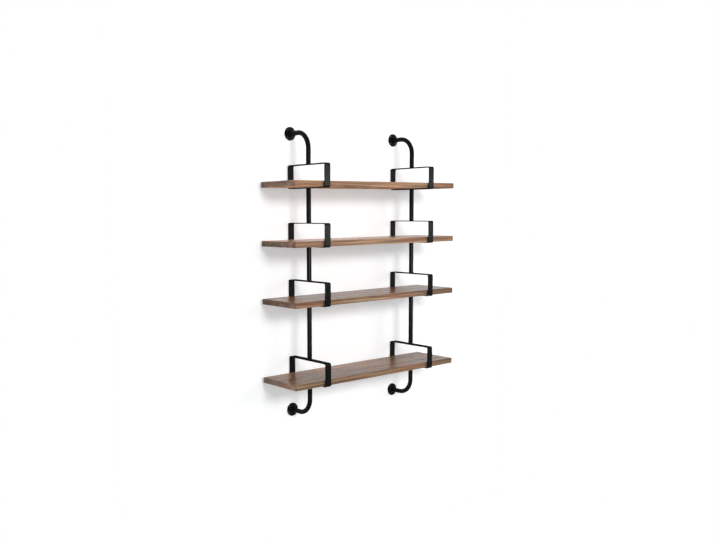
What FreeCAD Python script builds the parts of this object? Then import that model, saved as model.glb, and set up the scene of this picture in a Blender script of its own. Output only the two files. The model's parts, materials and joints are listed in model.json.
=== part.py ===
import FreeCAD, Part
import math
import os

# Wall-hung pipe shelving unit, in millimetres.
# X runs along the boards, +Y points into the wall and +Z is up.
# The origin lies on the wall, in the middle of the four wall flanges.

Vector = FreeCAD.Vector

# Boards
board_length = 1245.0
board_depth = 292.0
board_thickness = 32.0
board_edge_radius = 4.0

# Heights, from the underside of one board to the next, and on to the flange centres
top_rise = 302.0
upper_bay = 320.0
middle_bay = 320.0
lower_bay = 440.0
bottom_drop = 188.0

# Pipes of the two uprights
upright_spacing = 812.8
pipe_diameter = 26.9
pipe_wall = 2.3
bend_radius = 90.0

# Strap loops, bent from flat bar around each board
strap_width = 40.0
strap_thickness = 5.0
strap_height = 132.0
strap_edge_radius = 0.8
strap_bend_radius = 6.0
strap_clearance = 8.5
wall_gap = 2.0

# Wall flanges, screwed on the pipe's end and seated on an inner lip
flange_diameter = 76.0
flange_plate = 6.0
flange_rim_radius = 2.5
hub_height = 20.0
hub_wall = 4.2
hub_fillet = 6.0
hub_edge_radius = 2.0
lip_thickness = 2.5
lip_width = 3.0
wall_screw_count = 4
wall_screw_hole = 5.5
wall_screw_head = 10.5

# Threaded plugs in the pipe ends, and the countersunk screws that pull them on the straps
plug_length = 24.0
joint_screw_diameter = 8.0
joint_screw_head = 16.0
joint_screw_reach = 18.0

# Wood screws, driven up through the lower bars into the boards
board_screw_diameter = 4.2
board_screw_head = 8.4
board_screw_reach = 20.0
board_screw_inset = 60.0

# Fits
thread_clearance = 0.1
plug_clearance = 0.1
hole_clearance = 0.4
head_clearance = 0.25
head_recess = 0.2
pilot_spare_depth = 2.0

# Places worked out from the sizes above
strap_depth = board_depth + 2 * (strap_clearance + strap_thickness)
strap_back = -wall_gap
strap_front = strap_back - strap_depth
pipe_axis = (strap_back + strap_front) / 2
pipe_bore = pipe_diameter - 2 * pipe_wall
hub_bore = pipe_diameter + 2 * thread_clearance
hub_diameter = hub_bore + 2 * hub_wall
lip_bore = hub_bore - 2 * lip_width
wall_screw_circle = (flange_diameter - 2 * flange_rim_radius + hub_diameter + 2 * hub_fillet) / 2
frame_height = top_rise + upper_bay + middle_bay + lower_bay + bottom_drop
top_flange_level = frame_height / 2
bottom_flange_level = -frame_height / 2

top_level = top_flange_level - top_rise
upper_level = top_level - upper_bay
lower_level = upper_level - middle_bay
bottom_level = lower_level - lower_bay
board_levels = {"top": top_level, "upper": upper_level, "lower": lower_level, "bottom": bottom_level}
sides = {"left": -upright_spacing / 2, "right": upright_spacing / 2}
board_screw_places = (
    strap_front + strap_thickness + board_screw_inset,
    strap_back - strap_thickness - board_screw_inset,
)
up = Vector(0, 0, 1)
down = Vector(0, 0, -1)


def strap_bottom(level):
    return level - strap_thickness


def strap_top(level):
    return strap_bottom(level) + strap_height


# Rounded rectangle across the depth and height, at x = 0
def rounded_outline(y_low, y_high, z_low, z_high, radius):
    edges = []
    corners = [
        (y_high - radius, z_high - radius, 0),
        (y_low + radius, z_high - radius, 90),
        (y_low + radius, z_low + radius, 180),
        (y_high - radius, z_low + radius, 270),
    ]
    ends = []
    for y, z, start in corners:
        points = []
        for turn in (0, 45, 90):
            angle = math.radians(start + turn)
            points.append(Vector(0, y + radius * math.cos(angle), z + radius * math.sin(angle)))
        edges.append(Part.Arc(*points).toShape())
        ends.append((points[0], points[2]))
    for (_, leaving), (arriving, _) in zip(ends, ends[1:] + ends[:1]):
        edges.append(Part.makeLine(leaving, arriving))
    return Part.Wire(Part.__sortEdges__(edges))


# Countersink and clearance hole, cut from the face at point and running along direction
def countersunk_hole(point, direction, head, hole, depth):
    mouth = head / 2 + head_clearance
    neck = hole / 2
    taper = mouth - neck
    cone = Part.makeCone(mouth, neck, taper, point, direction)
    return cone.fuse(Part.makeCylinder(neck, depth, point, direction))


# Countersunk screw with its head just under the face at point, running along direction
def countersunk_screw(point, direction, head, diameter, length):
    radius = diameter / 2
    taper = head / 2 - radius
    top = point + direction * head_recess
    cone = Part.makeCone(head / 2, radius, taper, top, direction)
    shank = Part.makeCylinder(radius, length - head_recess, top, direction)
    return cone.fuse(shank).removeSplitter()


# Flat bar bent into a closed loop round a board, with its screw holes
def make_strap(x, level):
    bottom = strap_bottom(level)
    top = strap_top(level)
    bend_outside = strap_bend_radius + strap_thickness
    outside = rounded_outline(strap_front, strap_back, bottom, top, bend_outside)
    inside = rounded_outline(
        strap_front + strap_thickness,
        strap_back - strap_thickness,
        bottom + strap_thickness,
        top - strap_thickness,
        strap_bend_radius,
    )
    across = Vector(strap_width, 0, 0)
    loop = Part.Face(outside).extrude(across).cut(Part.Face(inside).extrude(across))
    side_edges = [edge for edge in loop.Edges if edge.BoundBox.XLength < strap_width / 2]
    loop = loop.makeFillet(strap_edge_radius, side_edges)
    loop.translate(Vector(x - strap_width / 2, 0, 0))
    joint_hole = joint_screw_diameter + 2 * hole_clearance
    board_hole = board_screw_diameter + 2 * hole_clearance
    cuts = [
        countersunk_hole(
            Vector(x, pipe_axis, level), down, joint_screw_head, joint_hole, strap_thickness
        ),
        countersunk_hole(
            Vector(x, pipe_axis, top - strap_thickness),
            up,
            joint_screw_head,
            joint_hole,
            strap_thickness,
        ),
    ]
    for y in board_screw_places:
        cuts.append(
            countersunk_hole(
                Vector(x, y, bottom), up, board_screw_head, board_hole, strap_thickness
            )
        )
    return loop.cut(cuts)


# Board with eased edges and the screw holes in its underside
def make_board(level):
    corner = Vector(-board_length / 2, pipe_axis - board_depth / 2, level)
    board = Part.makeBox(board_length, board_depth, board_thickness, corner)
    board = board.makeFillet(board_edge_radius, board.Edges)
    pilot_radius = board_screw_diameter / 2 + thread_clearance
    pilot_depth = board_screw_reach + pilot_spare_depth
    pilots = []
    for x in sides.values():
        for y in board_screw_places:
            pilots.append(Part.makeCylinder(pilot_radius, pilot_depth, Vector(x, y, level), up))
    return board.cut(pilots)


# Hollow pipe swept along a path that starts at the given point and direction
def make_tube(path, start, direction):
    solids = []
    for diameter in (pipe_diameter, pipe_bore):
        ring = Part.Wire(Part.makeCircle(diameter / 2, start, direction))
        solids.append(path.makePipeShell([ring], True, False))
    return solids[0].cut(solids[1])


def make_straight_pipe(x, low, high):
    start = Vector(x, pipe_axis, low)
    path = Part.Wire(Part.makeLine(start, Vector(x, pipe_axis, high)))
    return make_tube(path, start, up)


# Pipe that leaves a wall flange, turns through a right angle and ends on a strap
def make_hook(x, flange_level, strap_end):
    turn = math.copysign(1, strap_end - flange_level)
    start = Vector(x, -lip_thickness, flange_level)
    bend_start = Vector(x, pipe_axis + bend_radius, flange_level)
    bend_end = Vector(x, pipe_axis, flange_level + turn * bend_radius)
    half = math.radians(45)
    bend_middle = Vector(
        x,
        pipe_axis + bend_radius * (1 - math.sin(half)),
        flange_level + turn * bend_radius * (1 - math.cos(half)),
    )
    path = Part.Wire(
        [
            Part.makeLine(start, bend_start),
            Part.Arc(bend_start, bend_middle, bend_end).toShape(),
            Part.makeLine(bend_end, Vector(x, pipe_axis, strap_end)),
        ]
    )
    return make_tube(path, start, Vector(0, -1, 0))


# Round wall flange: plate, hub with a socket for the pipe, and countersunk screw holes
def make_flange(x, flange_level):
    rim = flange_diameter / 2
    hub = hub_diameter / 2
    socket = hub_bore / 2
    lip = lip_bore / 2
    half = math.sin(math.radians(45))

    def at(radius, height):
        return Vector(radius, 0, height)

    rim_low = at(rim, flange_plate - flange_rim_radius)
    rim_high = at(rim - flange_rim_radius, flange_plate)
    rim_middle = at(
        rim - flange_rim_radius * (1 - half), flange_plate - flange_rim_radius * (1 - half)
    )
    foot_low = at(hub + hub_fillet, flange_plate)
    foot_high = at(hub, flange_plate + hub_fillet)
    foot_middle = at(hub + hub_fillet * (1 - half), flange_plate + hub_fillet * (1 - half))
    nose_low = at(hub, hub_height - hub_edge_radius)
    nose_high = at(hub - hub_edge_radius, hub_height)
    nose_middle = at(
        hub - hub_edge_radius * (1 - half), hub_height - hub_edge_radius * (1 - half)
    )
    profile = [
        Part.makeLine(at(lip, 0), at(rim, 0)),
        Part.makeLine(at(rim, 0), rim_low),
        Part.Arc(rim_low, rim_middle, rim_high).toShape(),
        Part.makeLine(rim_high, foot_low),
        Part.Arc(foot_low, foot_middle, foot_high).toShape(),
        Part.makeLine(foot_high, nose_low),
        Part.Arc(nose_low, nose_middle, nose_high).toShape(),
        Part.makeLine(nose_high, at(socket, hub_height)),
        Part.makeLine(at(socket, hub_height), at(socket, lip_thickness)),
        Part.makeLine(at(socket, lip_thickness), at(lip, lip_thickness)),
        Part.makeLine(at(lip, lip_thickness), at(lip, 0)),
    ]
    flange = Part.Face(Part.Wire(profile)).revolve(Vector(0, 0, 0), up, 360)
    holes = []
    for number in range(wall_screw_count):
        angle = 2 * math.pi * (number + 0.5) / wall_screw_count
        reach = wall_screw_circle / 2
        point = Vector(reach * math.cos(angle), reach * math.sin(angle), flange_plate)
        holes.append(
            countersunk_hole(point, down, wall_screw_head, wall_screw_hole, flange_plate)
        )
    flange = flange.cut(holes)
    flange.rotate(Vector(0, 0, 0), Vector(1, 0, 0), 90)
    flange.translate(Vector(x, 0, flange_level))
    return flange


# Threaded plug inside a pipe end, flush with the end that meets the strap
def make_plug(x, end, inward):
    point = Vector(x, pipe_axis, end)
    outside = pipe_bore / 2 - plug_clearance
    thread = joint_screw_diameter / 2 + thread_clearance
    plug = Part.makeCylinder(outside, plug_length, point, inward)
    return plug.cut(Part.makeCylinder(thread, plug_length, point, inward))


# The two screws that hold the pipes above and below on a strap
def make_joint_screws(x, level):
    length = strap_thickness + joint_screw_reach
    top_inside = strap_top(level) - strap_thickness
    return [
        countersunk_screw(
            Vector(x, pipe_axis, level), down, joint_screw_head, joint_screw_diameter, length
        ),
        countersunk_screw(
            Vector(x, pipe_axis, top_inside), up, joint_screw_head, joint_screw_diameter, length
        ),
    ]


# The four wood screws that hold a board down on its straps
def make_board_screws(level):
    length = strap_thickness + board_screw_reach
    screws = []
    for x in sides.values():
        for y in board_screw_places:
            point = Vector(x, y, strap_bottom(level))
            screws.append(
                countersunk_screw(point, up, board_screw_head, board_screw_diameter, length)
            )
    return screws


nodes = {}
for name, level in board_levels.items():
    nodes[f"{name}_board"] = make_board(level)
    nodes[f"{name}_board_screws"] = Part.makeCompound(make_board_screws(level))

for side, x in sides.items():
    for name, level in board_levels.items():
        nodes[f"{side}_{name}_strap"] = make_strap(x, level)
        nodes[f"{side}_{name}_strap_screws"] = Part.makeCompound(make_joint_screws(x, level))

    straight_pipes = [
        ("upper", strap_bottom(top_level), strap_top(upper_level)),
        ("middle", strap_bottom(upper_level), strap_top(lower_level)),
        ("lower", strap_bottom(lower_level), strap_top(bottom_level)),
    ]
    for name, high, low in straight_pipes:
        nodes[f"{side}_{name}_pipe"] = make_straight_pipe(x, low, high)
        plugs = [make_plug(x, high, down), make_plug(x, low, up)]
        nodes[f"{side}_{name}_pipe_plugs"] = Part.makeCompound(plugs)

    hooks = [
        ("top", top_flange_level, strap_top(top_level), up),
        ("bottom", bottom_flange_level, strap_bottom(bottom_level), down),
    ]
    for name, flange_level, strap_end, inward in hooks:
        nodes[f"{side}_{name}_hook"] = make_hook(x, flange_level, strap_end)
        nodes[f"{side}_{name}_hook_plug"] = make_plug(x, strap_end, inward)
        nodes[f"{side}_{name}_flange"] = make_flange(x, flange_level)

os.makedirs("parts", exist_ok=True)
for name, shape in nodes.items():
    shape.exportStep(f"parts/{name}.step")
    solids = len(shape.Solids)
    print(f"{name}: {solids} solids, valid {shape.isValid()}, {shape.Volume / 1000:.2f} cm3")
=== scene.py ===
import bpy
import json
import math
from mathutils import Euler, Matrix, Vector


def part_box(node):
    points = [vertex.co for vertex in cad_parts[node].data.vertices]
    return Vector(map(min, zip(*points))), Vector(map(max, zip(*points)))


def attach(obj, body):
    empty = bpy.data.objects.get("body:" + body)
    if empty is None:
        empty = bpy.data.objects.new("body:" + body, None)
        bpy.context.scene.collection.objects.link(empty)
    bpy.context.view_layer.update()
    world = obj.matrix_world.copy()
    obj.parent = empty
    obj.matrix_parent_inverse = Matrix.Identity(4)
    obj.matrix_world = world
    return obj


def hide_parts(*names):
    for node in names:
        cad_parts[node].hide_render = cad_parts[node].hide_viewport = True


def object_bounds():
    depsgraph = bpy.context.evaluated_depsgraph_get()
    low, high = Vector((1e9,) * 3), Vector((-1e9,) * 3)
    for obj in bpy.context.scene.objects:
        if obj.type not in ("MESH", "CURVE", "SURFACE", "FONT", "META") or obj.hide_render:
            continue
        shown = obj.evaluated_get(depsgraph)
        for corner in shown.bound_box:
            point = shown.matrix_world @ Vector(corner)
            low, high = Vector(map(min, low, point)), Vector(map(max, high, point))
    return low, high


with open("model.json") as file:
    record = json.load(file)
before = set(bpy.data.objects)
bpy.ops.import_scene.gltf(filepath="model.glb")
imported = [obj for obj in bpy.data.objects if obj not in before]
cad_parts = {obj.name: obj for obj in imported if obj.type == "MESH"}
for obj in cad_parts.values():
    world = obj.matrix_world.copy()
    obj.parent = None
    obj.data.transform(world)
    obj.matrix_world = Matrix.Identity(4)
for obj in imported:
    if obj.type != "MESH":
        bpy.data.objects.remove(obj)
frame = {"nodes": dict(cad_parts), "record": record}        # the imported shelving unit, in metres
cadLow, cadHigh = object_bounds()
nodes = frame["nodes"]
print("frame loaded:", len(nodes), "nodes")


# One shader socket, with plain arithmetic on it
class Wire:
    def __init__(self, tree, socket=None):
        self.tree = tree
        self.socket = socket

    def node(self, kind, settings=None, inputs=None, outlet=0):
        made = self.tree.nodes.new("ShaderNode" + kind)
        for name, value in (settings or {}).items():
            if name == "stops":
                fillRamp(made.color_ramp, value)
            else:
                setattr(made, name, value)
        for name, value in (inputs or {}).items():
            if isinstance(value, Wire):
                self.tree.links.new(value.socket, made.inputs[name])
            else:
                made.inputs[name].default_value = value
        return Wire(self.tree, made.outputs[outlet] if made.outputs else None)

    def maths(self, operation, first, second=0.0):
        return self.node("Math", {"operation": operation}, {0: first, 1: second})

    def __add__(self, other):
        return self.maths("ADD", self, other)

    def __sub__(self, other):
        return self.maths("SUBTRACT", self, other)

    def __rsub__(self, other):
        return self.maths("SUBTRACT", other, self)

    def __mul__(self, other):
        return self.maths("MULTIPLY", self, other)

    def __truediv__(self, other):
        return self.maths("DIVIDE", self, other)

    def __pow__(self, other):
        return self.maths("POWER", self, other)

    def __abs__(self):
        return self.maths("ABSOLUTE", self)

    __radd__ = __add__
    __rmul__ = __mul__


def solid(colour, tone=1.0):
    return (*(channel * tone for channel in colour), 1.0)


def fillRamp(ramp, stops):
    while len(ramp.elements) < len(stops):
        ramp.elements.new(0.5)
    for element, (place, colour) in zip(ramp.elements, stops):
        element.position = place
        element.color = colour


def axes(vector):
    return [vector.node("SeparateXYZ", inputs={0: vector}, outlet=number) for number in range(3)]


def joinAxes(x, y, z):
    return x.node("CombineXYZ", inputs={0: x, 1: y, 2: z})


def smaller(first, second):
    return first.maths("MINIMUM", first, second)


def larger(first, second):
    return first.maths("MAXIMUM", first, second)


def rise(value, low, high):                  # 0 below low, 1 above high, smooth between
    span = {"Value": value, "From Min": low, "From Max": high}
    return value.node("MapRange", {"interpolation_type": "SMOOTHSTEP"}, span)


def noise(place, scale, detail, roughness=0.5):
    inputs = {"Vector": place, "Scale": scale, "Detail": detail, "Roughness": roughness}
    return place.node("TexNoise", inputs=inputs)


def swing(value):                            # a noise about 0 instead of 0.5
    return value - 0.5


def mixColour(share, first, second, blend="MIX"):
    settings = {"data_type": "RGBA", "blend_type": blend}
    return share.node("Mix", settings, {0: share, 6: first, 7: second}, 2)


def newLook(name):
    look = bpy.data.materials.new(name)
    look.use_nodes = True
    start = Wire(look.node_tree)
    return look, start.node("TexCoord", outlet=3)


def finishLook(look, sockets):
    shader = look.node_tree.nodes["Principled BSDF"]
    for name, value in sockets.items():
        if isinstance(value, Wire):
            look.node_tree.links.new(value.socket, shader.inputs[name])
        else:
            shader.inputs[name].default_value = value
    return look


def wear(piece, look):
    piece.data.materials.clear()
    piece.data.materials.append(look)


# Boards of brown wood, each sawn from its own place in the log
woodCut = {
    # the boards run paler towards the top of the unit and darker towards the bottom; the end tones are
    # painted light and shade on each board's ends
    "top_board": {"heart": (0.05, -0.085), "lean": 0.020, "tone": 1.40, "endLightTone": 0.92, "shift": 1.7},
    "upper_board": {"heart": (-0.09, 0.070), "lean": -0.014, "tone": 1.35, "endLightTone": 0.72, "shift": 5.3},
    "lower_board": {"heart": (0.02, -0.060), "lean": 0.026, "tone": 0.92, "endLightTone": 1.08, "shift": 9.1},
    "bottom_board": {"heart": (-0.04, 0.095), "lean": -0.022, "tone": 0.77, "endLightTone": 1.80, "shift": 13.9},
}
woodLookOf = {
    "lightWood": (0.50, 0.308, 0.195),
    "middleWood": (0.305, 0.176, 0.106),
    "darkWood": (0.125, 0.064, 0.038),
    "toneStops": (0.10, 0.45, 0.92),        # depths at which these three lie
    "middleDepth": 0.42,
    "poreColour": (0.060, 0.032, 0.020),
    "redTint": (1.06, 0.95, 0.92),          # the hue drifts slowly along each board
    "strawTint": (0.95, 1.04, 1.00),
    "driftCut": (0.35, 0.65),
    # end grain tint, partly the end grain's own greyer colour and partly painted light on the ends
    "endGrainAndLight": (0.81, 0.95, 1.18),
    "endLightLean": 0.30,            # painted light and shade: the ends are painted paler towards the front and darker at the back
    "endCalm": 0.5,             # and their streaks are weaker by this share
    "topPaintedLight": (1.15, 1.05, 0.92),         # painted light: the upper face is painted a little paler and warmer
    "underPaintedLight": (1.70, 1.70, 1.70),       # painted light: the underside is painted much paler, standing in for light it doesn't get
    "taper": 0.38,              # painted shade: each board darkens by this share from its middle to its right end
    # painted shade on the upright corners, and how far in from them it reaches
    "cornerPaintedShade": (0.45, 0.42, 0.40),
    "cornerReach": (0.0030, 0.0060),
    "edgeWearAndHighlight": (0.0012, 0.0060),           # where the rubbed edges, partly a painted highlight, begin to fade, and how far they reach
    "patchCut": (0.42, 0.62),
    "rubAndHighlightPale": 0.35,
    "leanUp": 0.6,              # the heart leans less upwards than sideways
    "bend": (0.050, 0.0045),    # how far the slow and the quick waves push a ring
    "ringWidth": 0.0062,        # from one winter ring to the next
    "ringBuild": 2.2,           # a higher power keeps more of each ring pale
    "ringBreak": 0.90,          # share of a ring at which its dark edge ends
    "ringChange": (70.0, 0.4, 2.0),         # strength waves across the rings and along, and their detail
    "ringCut": (0.30, 0.72),
    "ringDark": 0.5,
    "fibreDark": 1.4,
    "bandDark": 1.6,
    "poreCut": (0.60, 0.68),
    "poreSpread": 0.35,         # share of the pores that lie outside the winter rings
    "poreDark": 0.55,
    "endTurn": (0.55, 0.85),    # how square a face has to look along the board to be an end
    "faceTurn": (0.80, 0.98),   # and up, down or sideways to be a top, an underside or a long edge
    "gloss": 0.27,
    "edgeGloss": 0.48,          # the long edges are milled, not polished
    "endGloss": 0.88,
    "underGloss": 0.75,
    "fibreDull": 0.16,
    "poreDull": 0.12,
    "rubDull": 0.08,
    "shine": 0.11,
    "ringHeight": -0.35,
    "fibreHeight": 0.5,
    "poreHeight": -0.8,
    "bump": 0.5,
    "grainDepth": 0.00015,
}

# Waves in a metre along, across and through a board, then detail, and roughness where it isn't 0.5
woodWavesOf = {
    "slowBend": (1.1, 5.0, 5.0, 2.0),
    "quickBend": (5.0, 42.0, 42.0, 3.0),
    "fibre": (2.6, 210.0, 210.0, 4.0, 0.6),
    "wideBand": (0.8, 16.0, 40.0, 2.0),
    "fineBand": (1.5, 62.0, 62.0, 3.0),
    "pore": (34.0, 1050.0, 1050.0, 1.0),
    "drift": (2.6, 9.0, 9.0, 2.0),
    "patch": (9.0, 60.0, 60.0, 3.0),
}


def woodLook(name, cut, settings, waves):
    look, place = newLook(name)
    low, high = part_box(name)
    middle = (low + high) / 2
    half = (high - low) / 2
    local = place.node("VectorMath", {"operation": "SUBTRACT"}, {0: place, 1: middle})
    x, y, z = axes(local)
    shift = cut["shift"]
    pale, mild, deep, poreTint = (
        solid(settings[key], cut["tone"]) for key in ("lightWood", "middleWood", "darkWood", "poreColour")
    )

    def wave(key):
        along, across, through, *finish = waves[key]
        return noise(joinAxes(x * along + shift, y * across, z * through), 1.0, *finish)

    # rings about the heart, with slow bends and quick wobbles drawn out along the board
    heartY, heartZ = cut["heart"]
    sideways = y - heartY - x * cut["lean"]
    upright = z - heartZ + x * (cut["lean"] * settings["leanUp"])
    reach = (sideways * sideways + upright * upright) ** 0.5
    slowPush, quickPush = settings["bend"]
    reach = reach + swing(wave("slowBend")) * slowPush + swing(wave("quickBend")) * quickPush

    # each ring darkens slowly towards its winter edge and ends sharply
    turn = reach / settings["ringWidth"]
    ring = turn.maths("FRACT", turn)
    ringEdge = (ring ** settings["ringBuild"]) * (1 - rise(ring, settings["ringBreak"], 1.0))
    acrossRings, alongRings, detail = settings["ringChange"]
    strength = noise(joinAxes(reach * acrossRings, x * alongRings + shift, 0.0), 1.0, detail)
    ringDark = ringEdge * rise(strength, *settings["ringCut"])

    fibre = wave("fibre")
    spread = settings["poreSpread"]
    pore = rise(wave("pore"), *settings["poreCut"]) * (spread + ringEdge * (1 - spread))

    facing = axes(place.node("TexCoord", outlet=1))
    sawnEnd = rise(abs(facing[0]), *settings["endTurn"])
    longEdge = rise(abs(facing[1]), *settings["faceTurn"])
    above = rise(facing[2], *settings["faceTurn"])
    under = rise(facing[2] * -1.0, *settings["faceTurn"])

    bands = swing(wave("wideBand")) + swing(wave("fineBand"))
    streak = ringDark * settings["ringDark"] + swing(fibre) * settings["fibreDark"]
    streak = streak + bands * settings["bandDark"]
    depth = streak * (1 - sawnEnd * settings["endCalm"]) + settings["middleDepth"]
    stops = list(zip(settings["toneStops"], (pale, mild, deep)))
    colour = depth.node("ValToRGB", {"stops": stops}, {0: depth})
    colour = mixColour(pore * settings["poreDark"], colour, poreTint)
    drift = rise(wave("drift"), *settings["driftCut"])
    tint = mixColour(drift, solid(settings["redTint"]), solid(settings["strawTint"]))
    colour = colour.node("VectorMath", {"operation": "MULTIPLY"}, {0: colour, 1: tint})
    # painted shade along each board, and painted light and shade on its ends, scale the colour
    paintedFalloff = 1 - rise(x, 0.0, half.x) * settings["taper"]
    # painted light and shade on the ends: paler towards the front, darker at the back
    paintedFalloff = paintedFalloff * (1 - y * sawnEnd * (settings["endLightLean"] / half.y))
    colour = colour.node("VectorMath", {"operation": "SCALE"}, {0: colour, "Scale": paintedFalloff})

    # painted light and shade: the ends, the upper face and the underside are each painted their own shade,
    # the ends partly for their end grain; upright corners get painted shade, and eased edges are rubbed a
    # little paler, partly wear and partly a painted highlight
    colour = mixColour(sawnEnd, colour, solid(settings["endGrainAndLight"], cut["endLightTone"]), "MULTIPLY")
    colour = mixColour(above, colour, solid(settings["topPaintedLight"]), "MULTIPLY")
    colour = mixColour(under, colour, solid(settings["underPaintedLight"]), "MULTIPLY")
    inX, inY, inZ = (half[number] - abs(axis) for number, axis in enumerate((x, y, z)))
    # painted shade darkens the upright corners where the ends meet the long faces
    corner = 1 - rise(inX + inY, *settings["cornerReach"])
    colour = mixColour(corner, colour, solid(settings["cornerPaintedShade"]), "MULTIPLY")
    nearEdge = smaller(smaller(inX + inY, inY + inZ), inX + inZ)
    # eased edges are paler in patches: partly wear, partly a painted highlight
    rubbed = (1 - rise(nearEdge, *settings["edgeWearAndHighlight"])) * rise(wave("patch"), *settings["patchCut"])
    colour = mixColour(rubbed * settings["rubAndHighlightPale"], colour, pale)

    rough = settings["gloss"] + swing(fibre) * settings["fibreDull"]
    rough = rough + pore * settings["poreDull"] + rubbed * settings["rubDull"]
    for face, key in ((under, "underGloss"), (longEdge, "edgeGloss"), (sawnEnd, "endGloss")):
        rough = rough + face * (settings[key] - settings["gloss"])
    height = ringEdge * settings["ringHeight"] + swing(fibre) * settings["fibreHeight"]
    height = height + pore * settings["poreHeight"]
    relief = {"Strength": settings["bump"], "Distance": settings["grainDepth"], "Height": height}
    sockets = {"Base Color": colour, "Roughness": rough, "Normal": height.node("Bump", inputs=relief)}
    sockets["Specular IOR Level"] = settings["shine"]
    return finishLook(look, sockets)


for name, cut in woodCut.items():
    wear(nodes[name], woodLook(name, cut, woodLookOf, woodWavesOf))
print("boards finished:", len(woodCut))


# Satin black powder coat on pipes, straps and flanges
coatLookOf = {
    "black": (0.0030, 0.0030, 0.0032),
    "paler": (0.0050, 0.0050, 0.0052),
    # greyish tone for dust and painted light on upward faces, and for the coat worn thin at corners
    "dust": (0.026, 0.025, 0.023),
    "cloud": (14.0, 3.0),       # waves in a metre and detail
    "grain": (900.0, 2.0),
    "speck": (420.0, 1.0),
    "dustAndLightPatch": (30.0, 4.0),
    "thinPatch": (85.0, 4.0),
    "cloudCut": (0.30, 0.75),
    "speckCut": (0.66, 0.74),
    "dustAndLightCut": (0.35, 0.80),
    "thinCut": (0.48, 0.66),
    "dustAndLightShare": 0.08,
    "thinShare": 0.45,
    "thinReach": 0.0012,        # the coat draws thin this far in from a bar's corners
    "levelTurn": (0.50, 0.95),  # how square a face has to look up or down to be level
    "wallReach": (-0.20, -0.05),
    "gloss": 0.22,
    "levelGloss": 0.90,         # on level faces the coat dries thicker and matt
    "wallGloss": 0.42,          # bars next to the wall are never touched and stay duller
    "cloudDull": 0.12,
    "speckDull": 0.06,
    "thinPolish": 0.10,
    "shine": 0.055,
    "speckHeight": 0.4,
    "bump": 0.4,
    "grainDepth": 0.00006,
}


def coatLook(name, settings, bar=None):
    look, place = newLook(name)
    x, y = axes(place)[:2]
    black, paler, dust = (solid(settings[key]) for key in ("black", "paler", "dust"))
    cloud = noise(place, *settings["cloud"])
    speck = rise(noise(place, *settings["speck"]), *settings["speckCut"])
    colour = mixColour(rise(cloud, *settings["cloudCut"]), black, paler)
    upward = axes(place.node("TexCoord", outlet=1))[2]
    # dust and painted light: upward level faces are painted a little paler in patches
    dustAndLightPatch = rise(noise(place, *settings["dustAndLightPatch"]), *settings["dustAndLightCut"])
    dustAndTopLight = rise(upward, *settings["levelTurn"]) * dustAndLightPatch
    colour = mixColour(dustAndTopLight * settings["dustAndLightShare"], colour, dust)
    rough = settings["gloss"] + swing(cloud) * settings["cloudDull"] + speck * settings["speckDull"]
    level = rise(abs(upward), *settings["levelTurn"])
    rough = rough + level * (settings["levelGloss"] - settings["gloss"])
    if bar:
        barPlace, barHalf = bar
        fromMiddle = abs(abs(x) - barPlace)
        thinPatch = rise(noise(place, *settings["thinPatch"]), *settings["thinCut"])
        thin = rise(fromMiddle, barHalf - settings["thinReach"], barHalf) * thinPatch
        colour = mixColour(thin * settings["thinShare"], colour, dust)
        rough = rough - thin * settings["thinPolish"]
        rough = larger(rough, rise(y, *settings["wallReach"]) * settings["wallGloss"])
    height = noise(place, *settings["grain"]) + speck * settings["speckHeight"]
    relief = {"Strength": settings["bump"], "Distance": settings["grainDepth"], "Height": height}
    sockets = {"Base Color": colour, "Roughness": rough, "Normal": height.node("Bump", inputs=relief)}
    sockets["Specular IOR Level"] = settings["shine"]
    return finishLook(look, sockets)


strapLow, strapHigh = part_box("right_top_strap")
uprightX = (strapLow.x + strapHigh.x) / 2
strapHalf = (strapHigh.x - strapLow.x) / 2
pipeCoat = coatLook("pipeCoat", coatLookOf)
strapCoat = coatLook("strapCoat", coatLookOf, (uprightX, strapHalf))
for name, piece in nodes.items():
    if name.endswith("_strap"):
        wear(piece, strapCoat)
    elif name.endswith(("_pipe", "_hook", "_flange")):
        wear(piece, pipeCoat)
print("black coat on pipes, straps and flanges")


# Bright turned steel on the plugs inside the pipe ends
plugLookOf = {
    "steel": (0.52, 0.52, 0.53),
    "shade": (0.36, 0.36, 0.37),
    "lines": 2400.0,            # turning lines in a metre
    "lineDetail": 2.0,
    "gloss": 0.32,
    "lineDull": 0.2,
}


def plugLook(settings):
    look, place = newLook("turnedSteel")
    z = axes(place)[2]
    lines = noise(joinAxes(z * settings["lines"], 0.0, 0.0), 1.0, settings["lineDetail"])
    colour = mixColour(lines, solid(settings["steel"]), solid(settings["shade"]))
    rough = settings["gloss"] + swing(lines) * settings["lineDull"]
    return finishLook(look, {"Base Color": colour, "Roughness": rough, "Metallic": 1.0})


turnedSteel = plugLook(plugLookOf)
for name, piece in nodes.items():
    if name.endswith(("_plugs", "_plug")):
        wear(piece, turnedSteel)
print("plugs finished")


# Black oxide on the screws
screwLookOf = {
    "black": (0.006, 0.006, 0.0065),
    "rubbed": (0.040, 0.040, 0.042),
    "wear": (700.0, 3.0),       # waves in a metre and detail
    "wearCut": (0.50, 0.78),
    "gloss": 0.36,
    "wearDull": 0.14,
    "shine": 0.3,
}


def screwLook(settings):
    look, place = newLook("blackOxide")
    worn = rise(noise(place, *settings["wear"]), *settings["wearCut"])
    colour = mixColour(worn, solid(settings["black"]), solid(settings["rubbed"]))
    rough = settings["gloss"] + worn * settings["wearDull"]
    sockets = {"Base Color": colour, "Roughness": rough, "Specular IOR Level": settings["shine"]}
    return finishLook(look, sockets)


blackOxide = screwLook(screwLookOf)


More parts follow.
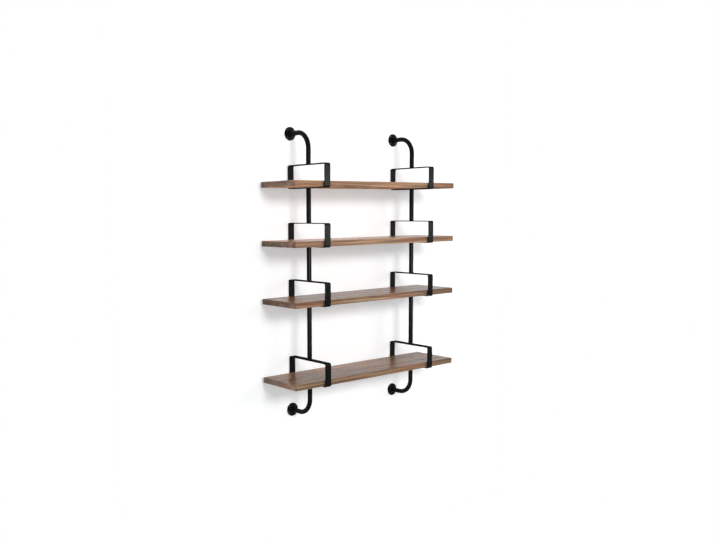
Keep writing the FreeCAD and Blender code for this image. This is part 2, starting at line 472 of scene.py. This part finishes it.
# Countersunk screws: head at the origin, shank down, metres
jointScrewOf = {
    "head": 0.00775,
    "land": 0.00025,            # upright edge of the head
    "shank": 0.0040,
    "length": 0.0228,
    "tipLength": 0.0010,
    "tip": 0.0031,
    "sides": 48,
    "socket": 0.0050,           # hexagon, across its flats
    "socketDepth": 0.0028,
    "easing": 0.00012,
}
boardScrewOf = {
    "head": 0.0040,
    "land": 0.00020,
    "shank": 0.0021,
    "length": 0.0248,
    "tipLength": 0.0060,
    "tip": 0.0003,
    "sides": 40,
    "cross": (0.0046, 0.0009, 0.0017),      # blade length, width and depth
    "easing": 0.00008,
}
wallScrewOf = {
    "head": 0.0050,
    "land": 0.00025,
    "shank": 0.0025,
    "length": 0.0056,           # only as far as the wall's face
    "tipLength": 0.0002,
    "tip": 0.0024,
    "sides": 40,
    "cross": (0.0058, 0.0011, 0.0020),
    "easing": 0.00010,
}
screwMakeOf = {
    "bladeFoot": 0.42,          # the blades of a cross narrow to this share at their foot
    "easingSteps": 2,
    "easingAngle": 35.0,
    "smoothAngle": 30.0,
    "firstTurn": 0.4,           # no two neighbours are driven to the same turn
    "nextTurn": 1.1,
    "sunk": 0.0002,             # heads lie this far under the face they are driven into
    "boardHead": 0.0042,        # half the width of a CAD board screw's head
    "barThick": 0.005,
    "flangePlate": 0.006,
}


def clearChoice():
    bpy.ops.object.select_all(action="DESELECT")


def choose(piece):
    clearChoice()
    piece.select_set(True)
    bpy.context.view_layer.objects.active = piece


def settle(piece, modifier):
    choose(piece)
    bpy.ops.object.modifier_apply(modifier=modifier.name)


def carve(piece, cutter):
    modifier = piece.modifiers.new("recess", "BOOLEAN")
    modifier.operation = "DIFFERENCE"
    modifier.solver = "EXACT"
    modifier.object = cutter
    settle(piece, modifier)
    bpy.data.objects.remove(cutter, do_unlink=True)


def hexCutter(across, depth):
    clearChoice()
    bpy.ops.mesh.primitive_cylinder_add(vertices=6, radius=across / math.sqrt(3), depth=2 * depth)
    return bpy.context.object


def bladeCutter(size, turn):
    length, width, depth = size
    clearChoice()
    bpy.ops.mesh.primitive_cube_add(size=1)
    cutter = bpy.context.object
    cutter.scale = (length, width, 2 * depth)
    cutter.rotation_euler = (0, 0, turn)
    bpy.ops.object.transform_apply(location=False, rotation=True, scale=True)
    bpy.ops.object.mode_set(mode="EDIT")
    bpy.ops.mesh.select_mode(type="FACE")
    bpy.ops.mesh.select_all(action="DESELECT")
    bpy.ops.object.mode_set(mode="OBJECT")
    for face in cutter.data.polygons:
        face.select = face.normal.z < -0.5
    bpy.ops.object.mode_set(mode="EDIT")
    foot = screwMakeOf["bladeFoot"]
    bpy.ops.transform.resize(value=(foot, foot, 1))
    bpy.ops.object.mode_set(mode="OBJECT")
    return cutter


def turnScrew(name, settings):
    clearChoice()
    head = settings["head"]
    shank = settings["shank"]
    bpy.ops.mesh.primitive_circle_add(vertices=settings["sides"], radius=head, fill_type="NGON")
    screw = bpy.context.object
    screw.name = name
    cone = head - shank         # the head tapers at 45 degrees
    tipLength = settings["tipLength"]
    plain = settings["length"] - settings["land"] - cone - tipLength
    steps = [(settings["land"], head), (cone, shank), (plain, shank), (tipLength, settings["tip"])]
    bpy.ops.object.mode_set(mode="EDIT")
    bpy.ops.mesh.select_all(action="SELECT")
    radius = head
    for drop, nextRadius in steps:
        bpy.ops.mesh.extrude_region_move(TRANSFORM_OT_translate={"value": (0, 0, -drop)})
        share = nextRadius / radius
        bpy.ops.transform.resize(value=(share, share, 1))
        radius = nextRadius
    bpy.ops.mesh.select_all(action="SELECT")
    bpy.ops.mesh.normals_make_consistent(inside=False)
    bpy.ops.object.mode_set(mode="OBJECT")
    if "socket" in settings:
        carve(screw, hexCutter(settings["socket"], settings["socketDepth"]))
    else:
        for turn in (0, math.pi / 2):
            carve(screw, bladeCutter(settings["cross"], turn))
    easing = screw.modifiers.new("easing", "BEVEL")
    easing.width = settings["easing"]
    easing.segments = screwMakeOf["easingSteps"]
    easing.limit_method = "ANGLE"
    easing.angle_limit = math.radians(screwMakeOf["easingAngle"])
    settle(screw, easing)
    bpy.ops.object.shade_smooth_by_angle(angle=math.radians(screwMakeOf["smoothAngle"]))
    return screw


# Copies of one screw, each with its own mesh and turn, joined into one piece
def setScrews(name, master, spots, tilt, replaced=None):
    copies = []
    for number, spot in enumerate(spots):
        copy = master.copy()
        copy.data = master.data.copy()
        bpy.context.collection.objects.link(copy)
        turn = screwMakeOf["firstTurn"] + screwMakeOf["nextTurn"] * number + spot[0]
        spin = Matrix.Rotation(turn, 4, "Z")
        copy.data.transform(Matrix.Translation(spot) @ tilt[number % len(tilt)] @ spin)
        copies.append(copy)
    choose(copies[0])
    for copy in copies:
        copy.select_set(True)
    bpy.ops.object.join()
    group = bpy.context.object
    group.name = name
    wear(group, blackOxide)
    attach(group, "root")
    if replaced:
        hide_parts(replaced)


down = Matrix.Identity(4)
up = Matrix.Rotation(math.pi, 4, "X")
wallward = Matrix.Rotation(math.pi / 2, 4, "X")
sunk = screwMakeOf["sunk"]
barThick = screwMakeOf["barThick"]
headReach = screwMakeOf["boardHead"]

jointScrew = turnScrew("jointScrew", jointScrewOf)
boardScrew = turnScrew("boardScrew", boardScrewOf)
wallScrew = turnScrew("wallScrew", wallScrewOf)
for level in ("top", "upper", "lower", "bottom"):
    boardSpots = []
    screwLow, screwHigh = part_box(level + "_board_screws")
    for side in ("left", "right"):
        low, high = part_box(side + "_" + level + "_strap")
        middle = (low + high) / 2
        lower = Vector((middle.x, middle.y, low.z + barThick - sunk))
        upper = Vector((middle.x, middle.y, high.z - barThick + sunk))
        jointName = side + "_" + level + "_strap_screws"
        setScrews(jointName + "_turned", jointScrew, [lower, upper], [down, up], jointName)
        for y in (screwLow.y + headReach, screwHigh.y - headReach):
            boardSpots.append(Vector((middle.x, y, low.z + sunk)))
    setScrews(level + "_board_screws_turned", boardScrew, boardSpots, [up], level + "_board_screws")
for mount in frame["record"]["mounts"]:
    if mount["name"].endswith("_flange_screws"):
        centre = Vector(mount["pos_m"])
        circle = mount["dims"]["pcd_mm"] / 2000
        wallSpots = []
        for number in range(mount["dims"]["count"]):
            angle = 2 * math.pi * (number + 0.5) / mount["dims"]["count"]
            around = Vector((math.cos(angle), 0, math.sin(angle))) * circle
            wallSpots.append(centre + around + Vector((0, sunk - screwMakeOf["flangePlate"], 0)))
        setScrews(mount["name"] + "_in_wall", wallScrew, wallSpots, [wallward])
for master in (jointScrew, boardScrew, wallScrew):
    bpy.data.objects.remove(master, do_unlink=True)
print("screws set")


# White wall and pale floor, seen only from their front sides
stageOf = {
    "wallBack": 0.0008,
    "floorDrop": 0.90,
    "reach": 9.0,
    "near": 0.35,               # the shadows stay within this of the unit's box
    "far": 0.90,                # and from here on the stage is plain white to the eye
}
wallOf = {"white": 0.79, "lift": 0.367, "glow": (0.965, 1.0, 1.03), "upright": True}
floorOf = {"white": 0.50, "lift": 0.75, "glow": (1.0, 1.0, 1.0), "upright": False}


def whiteRays(start):           # 1 for rays that end in the picture: straight, mirrored or let through
    seen = larger(start.node("LightPath", outlet=0), start.node("LightPath", outlet=3))
    return larger(seen, start.node("LightPath", outlet=6))


def stageLook(name, settings):
    look, place = newLook(name)
    tree = look.node_tree
    tree.nodes.remove(tree.nodes["Principled BSDF"])
    pale = solid((settings["white"],) * 3)
    white = solid((1.0, 1.0, 1.0))
    matt = place.node("BsdfDiffuse", inputs={"Color": pale})
    glow = place.node("Emission", inputs={"Color": solid(settings["glow"]), "Strength": settings["lift"]})
    blank = place.node("Emission", inputs={"Color": white, "Strength": 1.0})
    lifted = place.node("AddShader", inputs={0: matt, 1: glow})
    x, y, z = axes(place)
    half = (cadHigh - cadLow) / 2
    beyond = abs(z) - half.z if settings["upright"] else -2 * half.y - y
    outside = larger(abs(x) - half.x, beyond)
    away = rise(outside, stageOf["near"], stageOf["far"])
    shown = place.node("MixShader", inputs={0: away, 1: lifted, 2: blank})
    shown = place.node("MixShader", inputs={0: whiteRays(place), 1: matt, 2: shown})
    back = place.node("NewGeometry", outlet=6)
    clear = place.node("BsdfTransparent")
    front = place.node("MixShader", inputs={0: back, 1: shown, 2: clear})
    tree.links.new(front.socket, tree.nodes["Material Output"].inputs[0])
    return look


def addStage(name, location, rotation, settings):
    clearChoice()
    bpy.ops.mesh.primitive_plane_add(size=2 * stageOf["reach"], location=location, rotation=rotation)
    bpy.ops.object.transform_apply(location=True, rotation=True, scale=True)
    plane = bpy.context.object
    plane.name = name
    wear(plane, stageLook(name + "White", settings))


floorLevel = cadLow.z - stageOf["floorDrop"]
wallMiddle = (0, stageOf["wallBack"], floorLevel + stageOf["reach"])
floorMiddle = (0, stageOf["wallBack"] - stageOf["reach"], floorLevel)
addStage("wall", wallMiddle, (math.radians(90), 0, 0), wallOf)
addStage("floor", floorMiddle, (0, 0, 0), floorOf)
print("stage set")


# A lamp and a panel that aren't mirrored in the unit, two low cards that only are, and an even room
lampOf = {"place": (-1.6, -8.16, 2.54), "size": (3.2, 2.0), "power": 370.0}
panelOf = {"place": (3.7, -4.95, 1.45), "size": (3.0, 2.0), "power": 85.0}
pipeCardOf = {"place": (-2.4, -5.8, -0.48), "size": (2.2, 1.0), "power": 250.0}
barCardOf = {"place": (3.7, -4.95, 0.42), "size": (3.0, 1.2), "power": 80.0}
roomOf = {"light": 0.3, "seen": 1.0}


def addLamp(name, settings):
    clearChoice()
    bpy.ops.object.light_add(type="AREA", location=settings["place"])
    lamp = bpy.context.object
    lamp.name = name
    towards = (cadLow + cadHigh) / 2 - Vector(settings["place"])
    lamp.rotation_euler = towards.to_track_quat("-Z", "Y").to_euler()
    lamp.data.shape = "ELLIPSE"
    lamp.data.size, lamp.data.size_y = settings["size"]
    lamp.data.energy = settings["power"]
    return lamp


def addRoom(settings):
    room = bpy.data.worlds.new("room")
    room.use_nodes = True
    bpy.context.scene.world = room
    tree = room.node_tree
    tree.nodes.clear()
    start = Wire(tree)
    white = solid((1.0, 1.0, 1.0))
    even = start.node("Background", inputs={"Color": white, "Strength": settings["light"]})
    shown = start.node("Background", inputs={"Color": white, "Strength": settings["seen"]})
    mixed = start.node("MixShader", inputs={0: whiteRays(start), 1: even, 2: shown})
    start.node("OutputWorld", inputs={0: mixed})


addLamp("softLamp", lampOf).visible_glossy = False
addLamp("sidePanel", panelOf).visible_glossy = False
addLamp("pipeCard", pipeCardOf).visible_diffuse = False
addLamp("barCard", barCardOf).visible_diffuse = False
addRoom(roomOf)
print("lights on")


# Camera at the photograph's place: metres, degrees, and picture points of a 716 by 540 frame
cameraOf = {
    "place": (-3.2158, -3.5614, 0.3537),
    "turn": 37.675,
    "tip": -5.894,
    "roll": -0.582,
    "focal": 799.6,
    "centre": (-75.0, 24.0),
    "frameWidth": 716,
    "sensor": 36.0,             # millimetres
}


def addCamera(settings):
    clearChoice()
    bpy.ops.object.camera_add(location=settings["place"])
    camera = bpy.context.object
    camera.name = "photoCamera"
    turn, tip, roll = (math.radians(settings[key]) for key in ("turn", "tip", "roll"))
    level = Euler((math.radians(90), 0, -turn)).to_matrix()
    tilted = level @ Matrix.Rotation(tip, 3, "X") @ Matrix.Rotation(roll, 3, "Z")
    camera.rotation_euler = tilted.to_euler()
    lens = camera.data
    lens.sensor_width = settings["sensor"]
    lens.lens = settings["focal"] * lens.sensor_width / settings["frameWidth"]
    lens.shift_x = -settings["centre"][0] / settings["frameWidth"]
    lens.shift_y = settings["centre"][1] / settings["frameWidth"]
    bpy.context.scene.camera = camera


addCamera(cameraOf)
bpy.context.scene.view_settings.view_transform = "Standard"
print("camera set")
